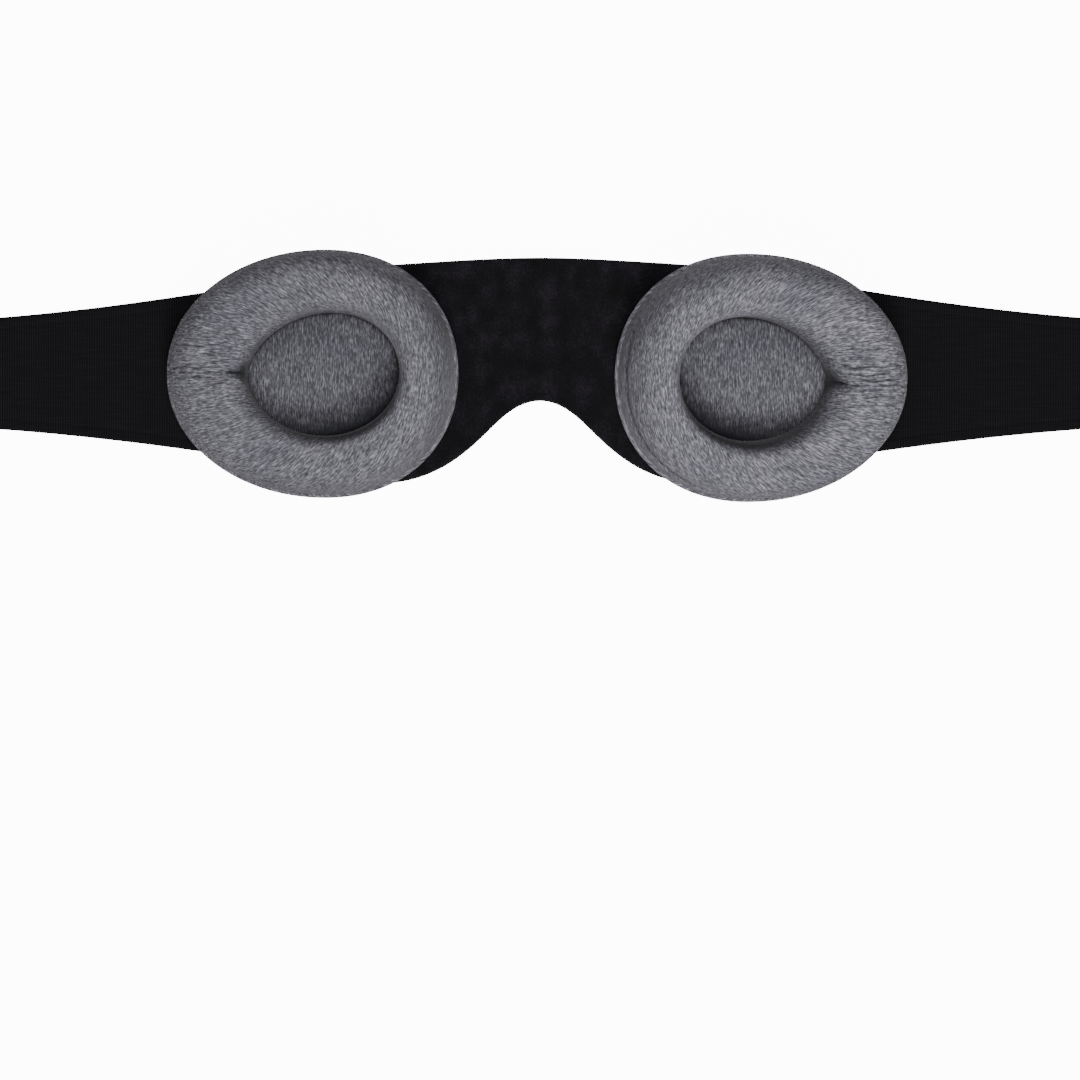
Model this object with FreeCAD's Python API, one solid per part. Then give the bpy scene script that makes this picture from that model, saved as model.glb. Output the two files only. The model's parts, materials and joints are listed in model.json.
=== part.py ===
"""Sleep eye mask with two foam eye cups that slide on a soft band.

The mask lies flat and open, face side up. +X runs along the band, +Y towards the
forehead and +Z out of the face side. The origin is on the surface it lies on, under
the middle of the mask and level with the middles of the eye cups. Millimetres.
"""
import FreeCAD, Part
import math
import os

V = FreeCAD.Vector

# ---- driving dimensions -------------------------------------------------------------
MASK_LENGTH = 720.0  # tip to tip, closing tabs included
PANEL_HALF = 89.0  # nose line to the seam where each strap joins the front panel
SHELL_T = 0.8  # outer fabric, away from the face
STRAP_T = 1.8  # elastic strap, and the foam core, which is as thick
FACE_T = 1.2  # loop fabric on the face side
TURN_IN = 1.5  # both panel fabrics turn in round the edge by this much
SEAM_TONGUE = 6.0  # strap length caught inside the panel

STRAP_ABOVE = 15.6  # strap edges above and below the eye line, once it is narrow
STRAP_BELOW = 14.2
FLARE_ABOVE = 10.0  # how much wider each edge is at the panel seam
FLARE_BELOW = 9.0
FLARE_LENGTH = 95.0
FLARE_POWER = 1.6

# Fold lines of the right strap. The fixed root ends at the first one, and the rest
# follow at these spacings.
ROOT_END = 112.0
FOLD_SPACING = (24.0, 30.0, 34.0, 36.0, 36.0)
LEFT_GROWTH = 1.035  # the left strap wraps outside the right one
FOLD_GAP = 0.3  # between two lengths of one strap

HOOK_TAB = (46.0, 24.0, 1.2)  # length, width, thickness
LOOP_PATCH = (60.0, 24.0, 1.0)
PLATE_CORNER = 4.0
TAB_MARGIN = 3.0  # bare strap between the hook tab and the tape on the tip
END_CAP = 7.0  # length of the folded tape that closes each strap tip
END_CAP_T = 0.5
PATCH_RAMP = 8.0  # the strap rises over this length to clear the loop patch

CUP_X = 64.5  # eye cup centre from the nose line, cups apart
CUP_HALF_LENGTH = 42.0
CUP_HALF_HEIGHT = 35.6
CUP_SQUARENESS = 2.1
CUP_EGG = 0.07  # the cup is fuller on its nose side
HOLLOW_X = -3.5  # centre of the eye hollow from the cup centre; minus is nosewards
HOLLOW_HALF_LENGTH = 22.0
HOLLOW_HALF_HEIGHT = 18.4
CREST_Z = 22.5  # top of the cup on its centre line
CREST_SLOPE = 0.075  # the cup is thinner towards the temple
CUP_LEAN = 1.4  # the crown leans this far towards the temple
COVER_T = 0.9
HOOK_REACH = 0.5  # hooks stand off the loop fabric by this much
PAD_T = 1.0
PAD_SCALE = 0.55  # hook pad outline as a share of the cup outline
BOARD_T = 1.5
WELT_WIDTH = 4.3
WELT_T = 2.0
FOAM_FLOOR_T = 1.4
LINER_EDGE_T = 0.8  # the pad on the floor of the hollow, at its edge
LINER_DOME = 2.2  # how much thicker it is in the middle
LINER_ROWS = 5
LINER_INSET = 0.8  # the liner stops this far inside the hollow's wall
WELT_PROUD = 0.6  # the welt stands out this far round the foot of the cover

# The cup's profile rises from the outline to the crest and falls to the hollow's floor.
# Each side is a quarter of a superellipse, squarer where the number is larger.
CREST_SHARE = 0.58  # share of the way from the outline to the hollow at the crest
OUTER_SQUARENESS = 2.5
HOLLOW_SQUARENESS = 3.2
PROFILE_ROWS = 16
RING_POINTS = 28

STITCH_R = 0.15
STITCH_LENGTH = 2.4
STITCH_PITCH = 3.6
STITCH_INSET = 2.0  # from the edge of what is sewn
SEAM_ROWS = (90.5, 93.0)  # rows of thread across the strap where it joins the panel

# ---- levels worked out from them ----------------------------------------------------
CORE_TOP = SHELL_T + STRAP_T
PANEL_TOP = CORE_TOP + FACE_T
RIM_MIDDLE = PANEL_TOP / 2
PAD_Z = PANEL_TOP + HOOK_REACH
BOARD_Z = PAD_Z + PAD_T
FOAM_Z = BOARD_Z + BOARD_T
HOLLOW_Z = FOAM_Z + FOAM_FLOOR_T
TIP_X = MASK_LENGTH / 2 - END_CAP_T


def save(name, shape):
    """Writes one sub-part, after checking that it is closed and sound."""
    if not shape.isValid() or shape.Volume <= 0:
        raise ValueError(f"{name} is not a sound solid")
    shape.exportStep(f"parts/{name}.step")
    print(f"{name:28s} {len(shape.Solids):3d} solids {shape.Volume:10.1f} mm3")


def mirrored(shape):
    return shape.mirror(V(0, 0, 0), V(1, 0, 0))


def spline(points):
    curve = Part.BSplineCurve()
    curve.interpolate(points)
    return curve.toShape()


def prism(wire, z_low, z_high):
    face = Part.Face(wire)
    face.translate(V(0, 0, z_low))
    return face.extrude(V(0, 0, z_high - z_low))


def rounded_plate(length, width, thickness, corner, x_middle, y_middle, z_low):
    """A flat plate with its four upright corners rounded."""
    low = V(x_middle - length / 2, y_middle - width / 2, z_low)
    box = Part.makeBox(length, width, thickness, low)
    upright = [e for e in box.Edges if abs(e.tangentAt(e.FirstParameter).z) > 0.99]
    return box.makeFillet(corner, upright)


def stitch_row(start, direction, length, z):
    """A row of thread stitches lying on a surface at height z, as separate solids."""
    count = int(length // STITCH_PITCH)
    slack = length - (count - 1) * STITCH_PITCH - STITCH_LENGTH
    stitches = []
    for i in range(count):
        at = start + direction * (slack / 2 + i * STITCH_PITCH)
        at = V(at.x, at.y, z + STITCH_R)
        stitches.append(Part.makeCylinder(STITCH_R, STITCH_LENGTH, at, direction))
    return stitches


# ---- front panel --------------------------------------------------------------------
def panel_wire(shrink=0.0, half=PANEL_HALF):
    """Outline of the front panel: brow edge, nose notch and the two cheek lobes."""
    brow = [(0, 34.2), (30, 33.0), (60, 30.6), (PANEL_HALF, 25.6)]
    cheek = [(0, -7.2), (6.5, -9.0), (16, -17.0), (27, -25.8), (38, -30.2), (52, -31.0)]
    cheek += [(72, -27.8), (PANEL_HALF, -23.2)]
    cheek_edge = [V(-x, y + shrink, 0) for x, y in reversed(cheek[1:])]
    cheek_edge += [V(x, y + shrink, 0) for x, y in cheek]
    brow_edge = [V(-x, y - shrink, 0) for x, y in reversed(brow[1:])]
    brow_edge += [V(x, y - shrink, 0) for x, y in brow]
    bottom, top = spline(cheek_edge), spline(brow_edge)
    left = Part.makeLine(brow_edge[0], cheek_edge[0])
    right = Part.makeLine(cheek_edge[-1], brow_edge[-1])
    wire = Part.Wire(Part.__sortEdges__([bottom, right, top, left]))
    if half >= PANEL_HALF:
        return wire
    window = Part.makeBox(2 * half, 200, 2, V(-half, -100, -1))
    return Part.Face(wire).common(window).Faces[0].OuterWire


def front_panel():
    outline, inside = panel_wire(), panel_wire(TURN_IN)
    shell = prism(outline, 0, RIM_MIDDLE).cut(prism(inside, SHELL_T, RIM_MIDDLE))
    face = prism(outline, RIM_MIDDLE, PANEL_TOP).cut(prism(inside, RIM_MIDDLE, CORE_TOP))
    core_wire = panel_wire(TURN_IN, PANEL_HALF - SEAM_TONGUE)
    core = prism(core_wire, SHELL_T, CORE_TOP)
    return {"outer_shell": shell, "face_loop_panel": face, "panel_foam_core": core}


# ---- straps -------------------------------------------------------------------------
def strap_edge(x, final, flare):
    """Distance of a strap edge from the eye line at a distance x from the nose."""
    along = (x - PANEL_HALF) / FLARE_LENGTH
    left = min(1.0, max(0.0, 1.0 - along))
    return final + flare * left**FLARE_POWER


def strap_plan(x_start, x_end, shrink=0.0):
    """Plan of one length of the right strap, as a wire at z = 0."""
    flare_end = PANEL_HALF + FLARE_LENGTH
    stations = [x_start + (x_end - x_start) * i / 4 for i in range(5)]
    above = [V(x, strap_edge(x, STRAP_ABOVE, FLARE_ABOVE) - shrink, 0) for x in stations]
    below = [V(x, shrink - strap_edge(x, STRAP_BELOW, FLARE_BELOW), 0) for x in stations]
    if x_start >= flare_end:
        top, bottom = Part.makeLine(above[0], above[-1]), Part.makeLine(below[0], below[-1])
    else:
        top, bottom = spline(above), spline(below)
    ends = [Part.makeLine(below[0], above[0]), Part.makeLine(below[-1], above[-1])]
    return Part.Wire(Part.__sortEdges__([top, bottom, *ends]))


def strap_root():
    """The strap length that stays with the panel, with its tongue between the fabrics."""
    outside = prism(strap_plan(PANEL_HALF, ROOT_END - FOLD_GAP / 2), 0, STRAP_T)
    tongue_wire = strap_plan(PANEL_HALF - SEAM_TONGUE, PANEL_HALF, TURN_IN)
    tongue = prism(tongue_wire, SHELL_T, CORE_TOP)
    return outside.fuse(tongue).removeSplitter()


def last_length(x_start, patch_t):
    """The outermost strap length. It rises by patch_t to clear a patch sewn under it."""
    plan = prism(strap_plan(x_start, TIP_X), 0, STRAP_T + patch_t)
    if not patch_t:
        return plan
    ramp_start = TIP_X - END_CAP - LOOP_PATCH[0] - 2 * PATCH_RAMP
    ramp_end = ramp_start + PATCH_RAMP
    side = [(x_start, 0), (ramp_start, 0), (ramp_end, patch_t), (TIP_X, patch_t)]
    side += [(TIP_X, patch_t + STRAP_T), (ramp_end, patch_t + STRAP_T)]
    side += [(ramp_start, STRAP_T), (x_start, STRAP_T), (x_start, 0)]
    profile = Part.Face(Part.makePolygon([V(x, -50, z) for x, z in side]))
    return profile.extrude(V(0, 100, 0)).common(plan)


def end_cap(z_low):
    """Tape folded over the strap tip, a channel that presses the elastic a little thinner."""
    width = STRAP_ABOVE + STRAP_BELOW
    low = V(TIP_X - END_CAP, -STRAP_BELOW, z_low)
    outer = Part.makeBox(END_CAP + END_CAP_T, width, STRAP_T + END_CAP_T, low)
    slot = Part.makeBox(END_CAP, width, STRAP_T - END_CAP_T, low + V(0, 0, END_CAP_T))
    return outer.cut(slot)


def hook_tab():
    """Hook plate on the face side of the left strap tip, with its rows of thread."""
    length, width, thickness = HOOK_TAB
    y_middle = (STRAP_ABOVE - STRAP_BELOW) / 2
    x_middle = TIP_X - END_CAP - TAB_MARGIN - length / 2
    top = STRAP_T + thickness
    plate = rounded_plate(length, width, thickness, PLATE_CORNER, x_middle, y_middle, STRAP_T)
    return plate, stitched_border(length, width, x_middle, y_middle, top)


def loop_patch():
    """Loop fabric under the right strap tip. Its thread shows on the strap's face side."""
    length, width, thickness = LOOP_PATCH
    y_middle = (STRAP_ABOVE - STRAP_BELOW) / 2
    x_middle = TIP_X - END_CAP - PATCH_RAMP / 2 - length / 2
    top = thickness + STRAP_T
    patch = rounded_plate(length, width, thickness, PLATE_CORNER, x_middle, y_middle, 0)
    return patch, stitched_border(length, width, x_middle, y_middle, top)


def stitched_border(length, width, x_middle, y_middle, z):
    """Thread round a sewn-on plate, a little inside its edge."""
    run_x, run_y = length - 2 * STITCH_INSET, width - 2 * STITCH_INSET
    x_low, y_low = x_middle - run_x / 2, y_middle - run_y / 2
    stitches = []
    for y in (y_low, y_low + run_y):
        stitches += stitch_row(V(x_low, y, 0), V(1, 0, 0), run_x, z)
    for x in (x_low, x_low + run_x):
        stitches += stitch_row(V(x, y_low, 0), V(0, 1, 0), run_y, z)
    return Part.makeCompound(stitches)


def seam_stitches():
    """Two rows of thread across the strap, just outside the panel."""
    stitches = []
    for x in SEAM_ROWS:
        above = strap_edge(x, STRAP_ABOVE, FLARE_ABOVE) - STITCH_INSET
        below = strap_edge(x, STRAP_BELOW, FLARE_BELOW) - STITCH_INSET
        stitches += stitch_row(V(x, -below, 0), V(0, 1, 0), above + below, STRAP_T)
    return Part.makeCompound(stitches)


def strap_parts(growth, patch_t):
    """The moving lengths of one strap, numbered outwards from the fixed first length."""
    ends = [ROOT_END]
    for spacing in FOLD_SPACING:
        ends.append(ends[-1] + spacing * growth)
    parts = {}
    for number, (x_start, x_end) in enumerate(zip(ends, ends[1:]), 2):
        plan = strap_plan(x_start + FOLD_GAP / 2, x_end - FOLD_GAP / 2)
        parts[f"strap_length_{number}"] = prism(plan, 0, STRAP_T)
    tip = last_length(ends[-1] + FOLD_GAP / 2, patch_t)
    parts[f"strap_length_{len(ends) + 1}"] = tip.cut(end_cap(patch_t))
    parts["strap_end_cap"] = end_cap(patch_t)
    return parts


# ---- eye cups, in the right cup's own frame -----------------------------------------
def cup_ring(share, grow, z_low=0.0, rise=0.0):
    """A closed curve round the cup, share of the way from its outline to the hollow's.

    grow moves it outwards. rise is the share of the crest's height above z_low.
    """
    points = []
    for i in range(RING_POINTS):
        turn = 2 * math.pi * i / RING_POINTS
        c, s = math.cos(turn), math.sin(turn)
        power = 2 / CUP_SQUARENESS
        outer_x = CUP_HALF_LENGTH * math.copysign(abs(c) ** power, c)
        outer_y = CUP_HALF_HEIGHT * math.copysign(abs(s) ** power, s)
        outer_y *= 1 - CUP_EGG * outer_x / CUP_HALF_LENGTH
        hollow_x = HOLLOW_X + HOLLOW_HALF_LENGTH * c
        hollow_y = HOLLOW_HALF_HEIGHT * s
        x = outer_x + share * (hollow_x - outer_x) + grow * c
        y = outer_y + share * (hollow_y - outer_y) + grow * s
        z = z_low + rise * (CREST_Z - CREST_SLOPE * x - z_low)
        points.append(V(x + rise * CUP_LEAN, y, z))
    curve = Part.BSplineCurve()
    curve.interpolate(points, PeriodicFlag=True)
    return Part.Wire(curve.toShape())


def cup_body(skin):
    """The cup from its foot over the crest to the floor of the hollow, skin inside it."""
    rings = []
    for i in range(PROFILE_ROWS + 1):
        turn = math.pi * i / PROFILE_ROWS
        c, s = math.cos(turn), math.sin(turn)
        outer = c > 0
        squareness = OUTER_SQUARENESS if outer else HOLLOW_SQUARENESS
        z_low = FOAM_Z if outer else HOLLOW_Z
        width = CREST_SHARE if outer else 1 - CREST_SHARE
        reach = (abs(c) ** squareness + abs(s) ** squareness) ** (-1 / squareness)
        across, rise = reach * c, reach * s
        share = CREST_SHARE - width * across
        outward = math.copysign(abs(across) ** (squareness - 1), across)
        upward = abs(rise) ** (squareness - 1)
        size = math.hypot(outward, upward)
        grow = -skin * outward / size - WELT_PROUD * (1 - share)
        ring = cup_ring(share, grow, z_low, rise)
        ring.translate(V(0, 0, -skin * upward / size))
        rings.append(ring)
    return Part.makeLoft(rings, True, False)


def eye_liner():
    """The soft pad on the floor of the hollow: a low dome on a thin upright edge."""
    edge_z = HOLLOW_Z + LINER_EDGE_T
    rim = cup_ring(1.0, -LINER_INSET)
    rings = [rim.copy() for _ in range(LINER_ROWS)]
    for i, ring in enumerate(rings):
        turn = math.pi / 2 * i / LINER_ROWS
        ring.translate(V(-HOLLOW_X, 0, 0))
        ring.scale(math.cos(turn))
        ring.translate(V(HOLLOW_X, 0, edge_z + LINER_DOME * math.sin(turn)))
    dome = Part.makeLoft(rings, True, False)
    return prism(rim, HOLLOW_Z, edge_z).fuse(dome).removeSplitter()


def cup_parts():
    outside, foam = cup_body(0.0), cup_body(COVER_T)
    welt_low = FOAM_Z - WELT_T
    board_wire = cup_ring(0.0, -WELT_WIDTH)
    welt = prism(cup_ring(0.0, 0.0), welt_low, FOAM_Z).cut(prism(board_wire, welt_low, FOAM_Z))
    pad_wire = cup_ring(0.0, 0.0)
    pad_wire.scale(PAD_SCALE)
    return {
        "cup_cover": outside.cut(foam),
        "cup_foam": foam,
        "cup_edge_welt": welt,
        "cup_backing_board": prism(board_wire, BOARD_Z, FOAM_Z),
        "cup_hook_pad": prism(pad_wire, PAD_Z, BOARD_Z),
        "cup_eye_liner": eye_liner(),
    }


# ---- write every sub-part -----------------------------------------------------------
os.makedirs("parts", exist_ok=True)

for name, shape in front_panel().items():
    save(name, shape)

first_length, seam = strap_root(), seam_stitches()
save("right_strap_length_1", first_length)
save("left_strap_length_1", mirrored(first_length))
save("right_seam_stitches", seam)
save("left_seam_stitches", mirrored(seam))

for name, shape in strap_parts(1.0, LOOP_PATCH[2]).items():
    save(f"right_{name}", shape)
for name, shape in strap_parts(LEFT_GROWTH, 0.0).items():
    save(f"left_{name}", mirrored(shape))

tab, tab_thread = hook_tab()
save("left_hook_tab", mirrored(tab))
save("left_hook_tab_stitches", mirrored(tab_thread))
patch, patch_thread = loop_patch()
save("right_loop_patch", patch)
save("right_loop_patch_stitches", patch_thread)

for name, shape in cup_parts().items():
    shape.translate(V(CUP_X, 0, 0))
    save(f"right_{name}", shape)
    save(f"left_{name}", mirrored(shape))
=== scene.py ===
# %% [markdown]
# # A sleep eye mask, face side up
# The mask is a soft band that ties round the head, with two foam eye cups that hook onto
# it and slide along it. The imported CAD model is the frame: it says where every piece sits
# and how it moves. Here each plain solid gets the surface that the real piece has.
# Meshes are worked out in millimetres and turned into metres as they are made.

# %% Load the frame
import json
import math

import bmesh
import bpy
import numpy as np
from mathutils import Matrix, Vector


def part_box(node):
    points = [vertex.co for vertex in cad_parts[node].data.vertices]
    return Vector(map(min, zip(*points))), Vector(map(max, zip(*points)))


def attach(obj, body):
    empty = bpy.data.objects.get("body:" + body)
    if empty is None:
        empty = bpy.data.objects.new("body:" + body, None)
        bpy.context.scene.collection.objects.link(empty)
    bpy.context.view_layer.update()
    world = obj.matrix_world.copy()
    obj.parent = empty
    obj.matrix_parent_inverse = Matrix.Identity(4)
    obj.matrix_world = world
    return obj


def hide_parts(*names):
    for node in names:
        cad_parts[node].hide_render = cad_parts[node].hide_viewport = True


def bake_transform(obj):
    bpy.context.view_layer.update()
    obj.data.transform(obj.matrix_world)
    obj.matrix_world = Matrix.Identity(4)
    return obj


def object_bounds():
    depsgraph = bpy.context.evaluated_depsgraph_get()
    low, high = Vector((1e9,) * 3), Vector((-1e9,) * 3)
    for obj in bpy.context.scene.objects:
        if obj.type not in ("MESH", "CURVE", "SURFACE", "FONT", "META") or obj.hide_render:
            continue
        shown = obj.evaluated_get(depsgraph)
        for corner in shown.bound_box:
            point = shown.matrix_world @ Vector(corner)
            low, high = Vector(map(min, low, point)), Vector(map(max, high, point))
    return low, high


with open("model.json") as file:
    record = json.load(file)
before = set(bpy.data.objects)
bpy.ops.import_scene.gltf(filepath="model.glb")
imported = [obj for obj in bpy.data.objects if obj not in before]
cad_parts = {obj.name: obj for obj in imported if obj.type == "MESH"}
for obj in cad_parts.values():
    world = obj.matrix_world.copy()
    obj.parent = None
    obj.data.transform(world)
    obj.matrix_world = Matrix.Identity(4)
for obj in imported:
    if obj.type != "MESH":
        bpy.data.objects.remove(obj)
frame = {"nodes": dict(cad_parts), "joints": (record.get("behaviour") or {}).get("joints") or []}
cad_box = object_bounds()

MM = 0.001
SIDES = {"right": 1, "left": -1}  # the sign of x on each side of the mask
random = np.random.default_rng(7)
print("CAD box:", [[round(v / MM, 1) for v in corner] for corner in cad_box], "mm")

# %% [markdown]
# ## The camera
# The mask is seen from straight above with the forehead edge up. A long lens from 1.2 m
# keeps the cups from leaning outwards much, and the band runs out of both sides of the view.

# %% Camera
CAMERA_HEIGHT = 1.2
VIEW_WIDTH, VIEW_LEVEL = 0.310, 0.01  # the width is meant at this height above the table
VIEW_MIDDLE = (0.0, -0.0474)
SENSOR_WIDTH = 36


def new_object(name, data):
    """An object made of some data, in the scene."""
    thing = bpy.data.objects.new(name, data)
    bpy.context.collection.objects.link(thing)
    return thing


lens_data = bpy.data.cameras.new("overhead_camera")
lens_data.sensor_width = SENSOR_WIDTH
lens_data.lens = SENSOR_WIDTH * (CAMERA_HEIGHT - VIEW_LEVEL) / VIEW_WIDTH
lens_data.clip_start, lens_data.clip_end = 0.05, 20
camera = new_object("overhead_camera", lens_data)
camera.location = (*VIEW_MIDDLE, CAMERA_HEIGHT)
bpy.context.scene.camera = camera
print("lens:", round(lens_data.lens, 1), "mm")

# %% [markdown]
# ## Colour and node helpers
# Colours are chosen as sRGB hex, but light adds up in linear values, so one function turns
# one into the other. A second function adds a node, sets its options, and fills or links
# its inputs. The others start a material, average two patterns, and give the material its
# colour and relief at the end.


# %% Colour and node helpers
def colour(hex_code):
    """An sRGB hex colour such as '6e6e74' as linear red, green, blue and alpha."""
    parts = [int(hex_code[i : i + 2], 16) / 255 for i in (0, 2, 4)]
    linear = [v / 12.92 if v <= 0.04045 else ((v + 0.055) / 1.055) ** 2.4 for v in parts]
    return (*linear, 1.0)


def add(tree, kind, inputs, output=0, stops=(), **options):
    """Adds a node and gives one output. An input is a value, or another node's output."""
    node = tree.nodes.new(kind)
    for option, value in options.items():
        setattr(node, option, value)
    for key, value in inputs.items():
        if isinstance(value, bpy.types.NodeSocket):
            tree.links.new(value, node.inputs[key])
        else:
            node.inputs[key].default_value = value
    for i, (place, hex_code) in enumerate(stops):
        marks = node.color_ramp.elements
        mark = marks[i] if i < len(marks) else marks.new(place)
        mark.position, mark.color = place, colour(hex_code)
    return node.outputs[output]


def start_material(name, **even):
    """A material, its node tree and its shader, with values that are even all over."""
    material = bpy.data.materials.new(name)
    material.use_nodes = True
    shader = material.node_tree.nodes["Principled BSDF"]
    for key, value in even.items():
        shader.inputs[key.replace("_", " ")].default_value = value
    return material, material.node_tree, shader


def average(tree, first, second):
    """The average of two outputs."""
    total = add(tree, "ShaderNodeMath", {0: first, 1: second}, operation="ADD")
    return add(tree, "ShaderNodeMath", {0: total, 1: 0.5}, operation="MULTIPLY")


def finish_surface(tree, shader, tone, height, relief):
    """The shader takes its colour from tone, and from height a relief of `relief` mm."""
    tree.links.new(tone, shader.inputs["Base Color"])
    tilt = add(tree, "ShaderNodeBump", {"Height": height, "Distance": relief * MM, "Strength": 1.0})
    tree.links.new(tilt, shader.inputs["Normal"])


# %% [markdown]
# ## The floor and the light
# A white sweep under a large soft light. The strongest light comes from the chin side and
# a little from the right, so the chin-side walls of the eye hollows fall into shade. A wide
# overhead light and a pale world fill the rest. The floor glows, as a lit table does, so it
# stays pale right up to the black band.

# %% Floor and lights
FLOOR_GLOW = 12.0
FLOOR_HALF = 6.0
FLOOR_DROP = 0.0002
WORLD_STRENGTH = 0.22
PAPER_TONES = [(0.3, "f2f2f2"), (0.7, "f6f6f6")]

floor_paper, tree, shader = start_material("white_paper_sweep", Roughness=0.9)
paper_grain = add(tree, "ShaderNodeTexNoise", {"Scale": 900.0, "Detail": 2.0})
paper_tone = add(tree, "ShaderNodeValToRGB", {"Fac": paper_grain}, stops=PAPER_TONES)
tree.links.new(paper_tone, shader.inputs["Base Color"])
shader.inputs["Emission Color"].default_value = colour("ffffff")
shader.inputs["Emission Strength"].default_value = FLOOR_GLOW

floor_mesh = bpy.data.meshes.new("floor")
floor_signs = [(-1, -1), (1, -1), (1, 1), (-1, 1)]
floor_corners = [(x * FLOOR_HALF, y * FLOOR_HALF, 0) for x, y in floor_signs]
floor_mesh.from_pydata(floor_corners, [], [(0, 1, 2, 3)])
floor_mesh.materials.append(floor_paper)
floor = new_object("floor", floor_mesh)
floor.location.z = cad_box[0][2] - FLOOR_DROP
# The glow is for the view alone, so it lights no other surface.
floor.visible_diffuse = floor.visible_glossy = False

world = bpy.data.worlds.new("studio")
bpy.context.scene.world = world
world.use_nodes = True
sky = world.node_tree.nodes["Background"]
sky.inputs["Color"].default_value = colour("f4f4f6")
sky.inputs["Strength"].default_value = WORLD_STRENGTH

# Each softbox: its place and its width in metres, and its power in watts.
SOFT_LIGHTS = {
    "chin_side_softbox": ((0.2, -1.45, 1.35), 0.65, 29.5),
    "overhead_softbox": ((0.1, 0.1, 2.2), 0.9, 26.0),
    "forehead_side_fill": ((-0.6, 1.5, 1.2), 1.2, 2.5),
}
for light_name, (place, size, power) in SOFT_LIGHTS.items():
    light_data = bpy.data.lights.new(light_name, "AREA")
    light_data.size, light_data.energy = size, power
    light = new_object(light_name, light_data)
    light.location = place
    light.rotation_euler = (-light.location).to_track_quat("-Z", "Y").to_euler()
    light.visible_camera = False
print("lights:", len(SOFT_LIGHTS))

# %% [markdown]
# ## Cloth coordinates
# A knit or weave is drawn in the cloth's own plane, in millimetres, so it keeps its scale
# and turns with the cloth. Every fabric mesh below carries a UV map called "cloth", with u
# across the threads and v along them. This pattern stretches noise into short threads.


# %% Threads in cloth coordinates
def threads(tree, width, length, detail=2.0, shift=0.0):
    """Soft streaks `width` mm across and `length` mm long, from 0 to 1 and mostly near 0.5."""
    cloth_plane = add(tree, "ShaderNodeUVMap", {}, uv_map="cloth")
    stretched = add(
        tree,
        "ShaderNodeMapping",
        {"Vector": cloth_plane, "Scale": (1 / width, 1 / length, 1), "Location": (shift,) * 3},
    )
    return add(tree, "ShaderNodeTexNoise", {"Vector": stretched, "Scale": 1.0, "Detail": detail})


# %% [markdown]
# ## Heather knit
# The cups wear a brushed polyester knit spun from dark and pale fibres together, so it looks
# grey from afar and streaked up close. Each thread is about 0.3 mm wide and keeps one
# shade for a few millimetres. Two layers of streaks, long and short, are added, and the
# same sum lifts the surface a little. A painted shade, kept on the mesh as a value from 0
# to 1, darkens the knit's colour in folds and at the foot of the hollows, where fibres shade
# each other, over the pillows, and a little over each whole cup, more on the left one.
# Fuzz gives a faint sheen at edges.

# %% Heather knit material
THREAD_WIDTH = 0.31
THREAD_DASH = 3.8
THREAD_RELIEF = 0.12
SHORT_THREAD = 0.35
CLOUD_SIZE = (17.0, 23.0)
KNIT_TONES = [(0.34, "3f3e44"), (0.5, "727178"), (0.68, "bab9c3")]
CLOUD_TONES = [(0.3, "e6e6e8"), (0.7, "ffffff")]
# The near-black that the painted shade mixes into the knit.
PAINTED_SHADE_TONE = "1c1c22"

heather, tree, shader = start_material(
    "brushed_heather_knit",
    Roughness=0.92,
    Specular_IOR_Level=0.25,
    Sheen_Weight=0.1,
    Sheen_Roughness=0.45,
)
long_dashes = threads(tree, THREAD_WIDTH, THREAD_DASH, 3.0)
short_dashes = threads(tree, THREAD_WIDTH * 1.2, THREAD_DASH * SHORT_THREAD, 2.0, shift=31.7)
knit = average(tree, long_dashes, short_dashes)
knit_tone = add(tree, "ShaderNodeValToRGB", {"Fac": knit}, stops=KNIT_TONES)
cloudy = threads(tree, *CLOUD_SIZE, 1.0, shift=5.0)
cloud_tone = add(tree, "ShaderNodeValToRGB", {"Fac": cloudy}, stops=CLOUD_TONES)
# A mix node's inputs 6 and 7 are its two colours, and its output 2 is their mix.
both = {0: 1.0, 6: knit_tone, 7: cloud_tone}
knit_tone = add(tree, "ShaderNodeMix", both, 2, data_type="RGBA", blend_type="MULTIPLY")
# A value stored on each mesh mixes the knit towards that near-black: painted shade in folds, in the
# hollows, on the pillows and over each cup.
painted_shade = add(tree, "ShaderNodeAttribute", {}, output=2, attribute_name="painted_shade")
painted_shade_inputs = {0: painted_shade, 6: knit_tone, 7: colour(PAINTED_SHADE_TONE)}
knit_tone = add(tree, "ShaderNodeMix", painted_shade_inputs, 2, data_type="RGBA")
finish_surface(tree, shader, knit_tone, knit, THREAD_RELIEF)

# %% [markdown]
# ## Brushed loop fabric
# The face side of the band is black nylon whose tiny loops are brushed up, so the cups'
# hooks can grip it anywhere. Up close it is a dense fuzz with a fine speckle. A tight
# noise makes the speckle and the relief, and a sheen makes the fuzz catch light where the
# fabric rolls over an edge.

# %% Loop fabric material
LOOP_SIZE = 0.55
LOOP_RELIEF = 0.22
BRUSHED_PATCH = (5.0, 7.0)
LOOP_TONES = [(0.38, "0a090b"), (0.52, "110f13"), (0.66, "211d24")]

loop_fabric, tree, shader = start_material(
    "brushed_nylon_loop",
    Roughness=0.95,
    Specular_IOR_Level=0.08,
    Sheen_Weight=0.06,
    Sheen_Roughness=0.6,
)
fuzz = threads(tree, LOOP_SIZE, LOOP_SIZE * 1.3, 3.0)
patches = threads(tree, *BRUSHED_PATCH, 2.0, shift=3.0)
brushed = average(tree, fuzz, patches)
fuzz_tone = add(tree, "ShaderNodeValToRGB", {"Fac": brushed}, stops=LOOP_TONES)
finish_surface(tree, shader, fuzz_tone, fuzz, LOOP_RELIEF)

# %% [markdown]
# ## Outer fabric
# The side away from the face is a smoother black knit. It is drawn as fine columns of
# stitches, 0.9 mm apart, with a slight change of shade from thread to thread.

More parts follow.
